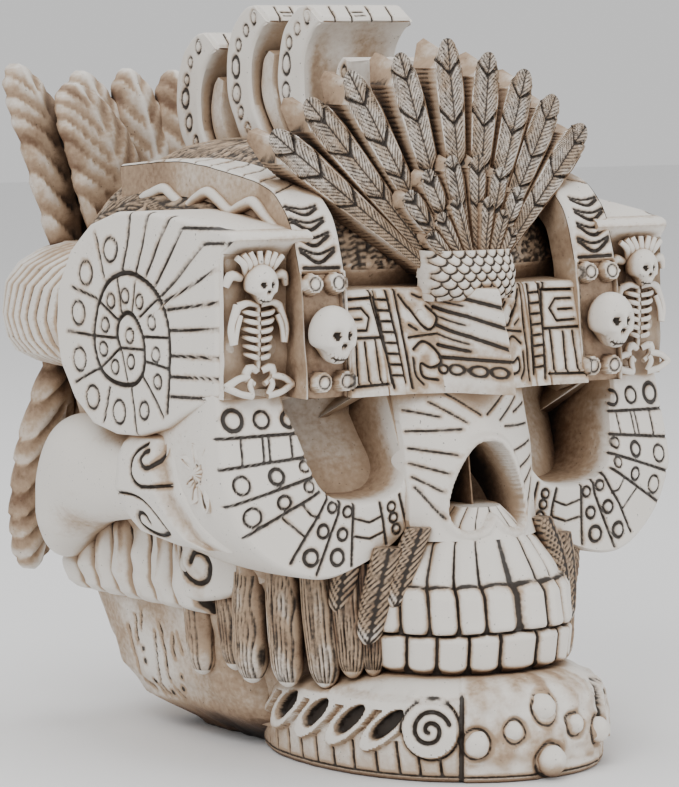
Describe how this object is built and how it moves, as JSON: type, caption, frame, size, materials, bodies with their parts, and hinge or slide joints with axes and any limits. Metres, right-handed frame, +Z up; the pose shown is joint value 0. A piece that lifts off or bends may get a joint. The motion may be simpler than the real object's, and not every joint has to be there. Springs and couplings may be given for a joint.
{
  "type": "skull_figurine",
  "caption": "Skull figurine carved in an old Mexican style, with a feather fan and a curled crest, coiled ear blocks and a jaw it stands on; a shelf ornament",
  "frame": {"origin": "on the table, under the middle of the whole figurine", "axes": "+Z up, -Y the way the face looks, +X to the right for someone facing it"},
  "size_m": [0.1436, 0.1731, 0.1831],
  "materials": {
    "resin": "bone-white cast resin with a brown wash left in the carving, slightly satin"
  },
  "bodies": {
    "root": {"skull": "resin"}
  },
  "joints": []
}
